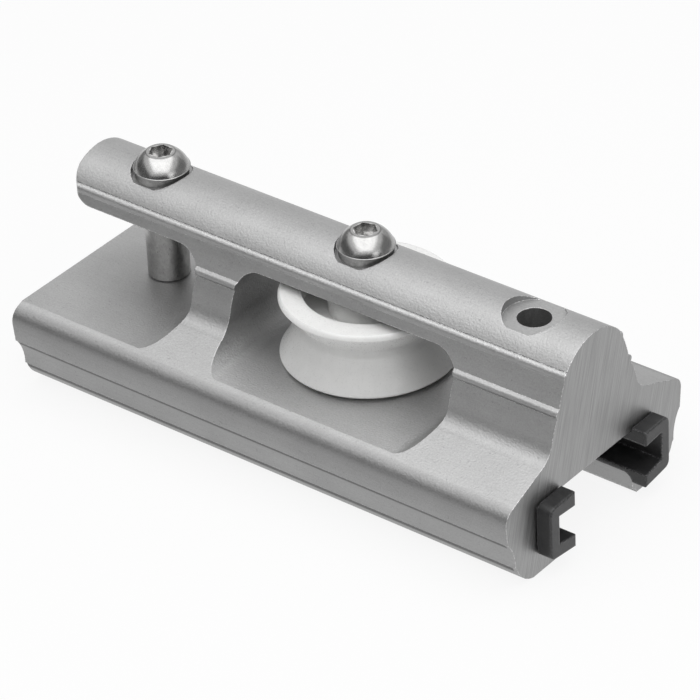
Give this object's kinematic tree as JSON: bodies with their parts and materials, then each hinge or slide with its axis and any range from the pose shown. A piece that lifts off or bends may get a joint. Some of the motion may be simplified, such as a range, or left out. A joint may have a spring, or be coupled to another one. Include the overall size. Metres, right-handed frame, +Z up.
{
  "type": "track end stop",
  "caption": "Extruded end stop for a sailing track, with a becket post in an end notch, a turning V-groove sheave in a pocket and plastic track liners.",
  "frame": {"origin": "centre of the outline's base, on the plane of the undersides of the two lips", "axes": "+X along the track towards the end with the liner heads, +Y across the track, +Z up from the track to the crown"},
  "size_m": [0.1174, 0.053, 0.0446],
  "materials": {
    "body": "satin, bead blasted and clear anodised",
    "sheave": "turned white acetal, soft sheen",
    "bush": "ground stainless steel",
    "washer": "smooth natural acetal",
    "screw": "polished stainless steel",
    "collar": "turned stainless steel",
    "post": "satin stainless steel",
    "liner": "moulded charcoal plastic"
  },
  "bodies": {
    "stop": {"body": "body", "sheave_bush": "bush", "washer_lower": "washer", "washer_upper": "washer", "sheave_screw": "screw", "sheave_collar": "collar", "becket_post": "post", "post_screw": "screw", "post_collar": "collar", "liner_front": "liner", "liner_rear": "liner"},
    "wheel": {"sheave": "sheave"}
  },
  "joints": [
    {"name": "sheave_spin", "type": "hinge", "parent": "stop", "child": "wheel", "pos_m": [0.00535, 0, 0.026], "axis": [0, 0, 1], "continuous": true}
  ]
}
